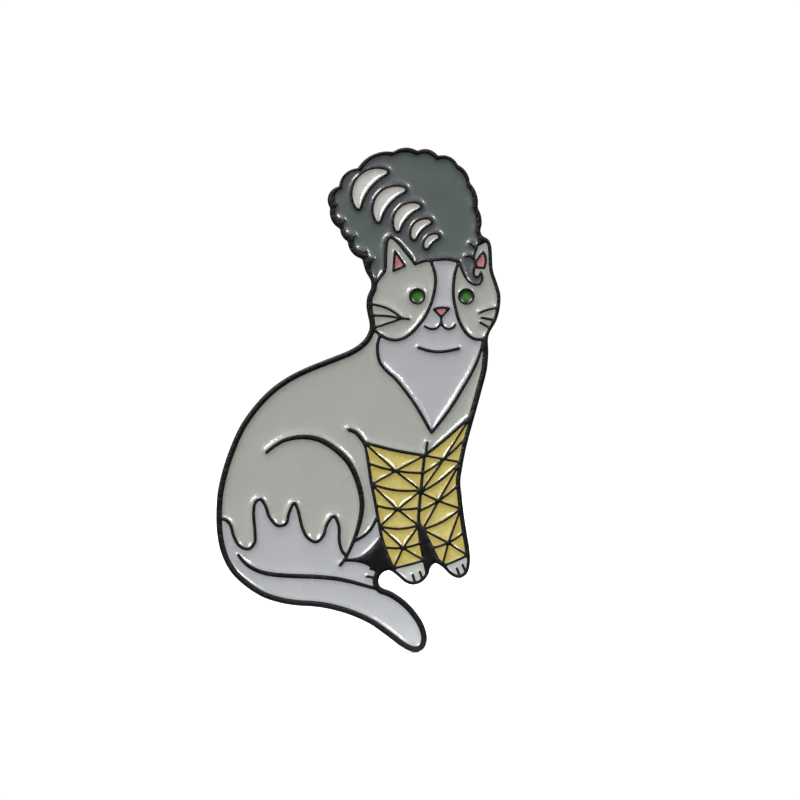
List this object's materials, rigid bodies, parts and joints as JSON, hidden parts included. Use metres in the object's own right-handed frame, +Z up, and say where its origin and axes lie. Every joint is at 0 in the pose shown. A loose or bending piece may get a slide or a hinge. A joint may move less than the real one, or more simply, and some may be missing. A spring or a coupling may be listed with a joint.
{
  "type": "enamel pin",
  "caption": "Soft-enamel lapel pin: a seated cat with a tall curly quiff and leg warmers, held on cloth by posts and butterfly clutches.",
  "frame": {"origin": "middle of the plate's flat back face, at half its width and half its height", "axes": "+Z up the picture, +Y out of the back along the posts, so the picture faces -Y, +X to the viewer's right"},
  "size_m": [0.0285, 0.0095, 0.0505],
  "materials": {
    "black_metal": "black dyed, satin",
    "post_metal": "dark nickel plated",
    "clutch_brass": "bright, stamped",
    "spring_steel": "bright wire",
    "quiff_grey": "glossy soft enamel",
    "cream": "glossy soft enamel",
    "coat_grey": "glossy soft enamel",
    "pale_grey": "glossy soft enamel",
    "pink": "glossy soft enamel",
    "green": "glossy soft enamel",
    "yellow": "glossy soft enamel"
  },
  "bodies": {
    "pin": {"die_struck_plate": "black_metal", "post_upper": "post_metal", "post_lower": "post_metal", "enamel_quiff": "quiff_grey", "enamel_curl_1": "cream", "enamel_curl_2": "cream", "enamel_curl_3": "cream", "enamel_curl_4": "cream", "enamel_curl_5": "cream", "enamel_face_left": "coat_grey", "enamel_face_right": "coat_grey", "enamel_whisker_wedge_upper": "coat_grey", "enamel_whisker_wedge_lower": "coat_grey", "enamel_coat": "coat_grey", "enamel_inner_ear_left": "pink", "enamel_inner_ear_right": "pink", "enamel_nose": "pink", "enamel_blaze_bib": "pale_grey", "enamel_belly_tail": "pale_grey", "enamel_hind_foot": "pale_grey", "enamel_paw_left": "pale_grey", "enamel_paw_right": "pale_grey", "enamel_eye_left": "green", "enamel_eye_right": "green", "enamel_left_leg_band_1": "yellow", "enamel_left_leg_band_2": "yellow", "enamel_left_leg_band_3": "yellow", "enamel_left_leg_band_4": "yellow", "enamel_left_leg_band_5": "yellow", "enamel_left_leg_band_6": "yellow", "enamel_right_leg_band_1": "yellow", "enamel_right_leg_band_2": "yellow", "enamel_right_leg_band_3": "yellow", "enamel_right_leg_band_4": "yellow", "enamel_right_leg_band_5": "yellow", "enamel_right_leg_band_6": "yellow"},
    "upper_clutch_base": {"clutch_upper_base": "clutch_brass"},
    "upper_clutch_cover": {"clutch_upper_cover": "clutch_brass", "clutch_upper_spring": "spring_steel"},
    "upper_clutch_wing_left": {"clutch_upper_wing_left": "clutch_brass"},
    "upper_clutch_wing_right": {"clutch_upper_wing_right": "clutch_brass"},
    "lower_clutch_base": {"clutch_lower_base": "clutch_brass"},
    "lower_clutch_cover": {"clutch_lower_cover": "clutch_brass", "clutch_lower_spring": "spring_steel"},
    "lower_clutch_wing_left": {"clutch_lower_wing_left": "clutch_brass"},
    "lower_clutch_wing_right": {"clutch_lower_wing_right": "clutch_brass"}
  },
  "joints": [
    {"name": "upper_clutch_slide", "type": "slide", "parent": "pin", "child": "upper_clutch_base", "axis": [0, 1, 0], "range_m": [-0.00215, 0.014]},
    {"name": "upper_clutch_turn", "type": "hinge", "parent": "upper_clutch_base", "child": "upper_clutch_cover", "pos_m": [0.0055, 0.0022, 0.018], "axis": [0, 1, 0], "continuous": true},
    {"name": "upper_wing_right_squeeze", "type": "hinge", "parent": "upper_clutch_cover", "child": "upper_clutch_wing_right", "pos_m": [0.00785, 0.0046, 0.018], "axis": [0, 0, 1], "range_deg": [0, 10], "stiffness_Nm_per_rad": 0.001, "springref_deg": -20.05},
    {"name": "upper_wing_left_squeeze", "type": "hinge", "parent": "upper_clutch_cover", "child": "upper_clutch_wing_left", "pos_m": [0.00315, 0.0046, 0.018], "axis": [0, 0, 1], "range_deg": [-10, 0], "stiffness_Nm_per_rad": 0.001, "springref_deg": 20.05},
    {"name": "lower_clutch_slide", "type": "slide", "parent": "pin", "child": "lower_clutch_base", "axis": [0, 1, 0], "range_m": [-0.00215, 0.014]},
    {"name": "lower_clutch_turn", "type": "hinge", "parent": "lower_clutch_base", "child": "lower_clutch_cover", "pos_m": [-0.0025, 0.0022, -0.0095], "axis": [0, 1, 0], "continuous": true},
    {"name": "lower_wing_right_squeeze", "type": "hinge", "parent": "lower_clutch_cover", "child": "lower_clutch_wing_right", "pos_m": [-0.00015, 0.0046, -0.0095], "axis": [0, 0, 1], "range_deg": [0, 10], "stiffness_Nm_per_rad": 0.001, "springref_deg": -20.05},
    {"name": "lower_wing_left_squeeze", "type": "hinge", "parent": "lower_clutch_cover", "child": "lower_clutch_wing_left", "pos_m": [-0.00485, 0.0046, -0.0095], "axis": [0, 0, 1], "range_deg": [-10, 0], "stiffness_Nm_per_rad": 0.001, "springref_deg": 20.05}
  ],
  "couplings": [
    {"joint": "upper_wing_left_squeeze", "follows": "upper_wing_right_squeeze", "ratio": -1},
    {"joint": "lower_wing_left_squeeze", "follows": "lower_wing_right_squeeze", "ratio": -1}
  ]
}
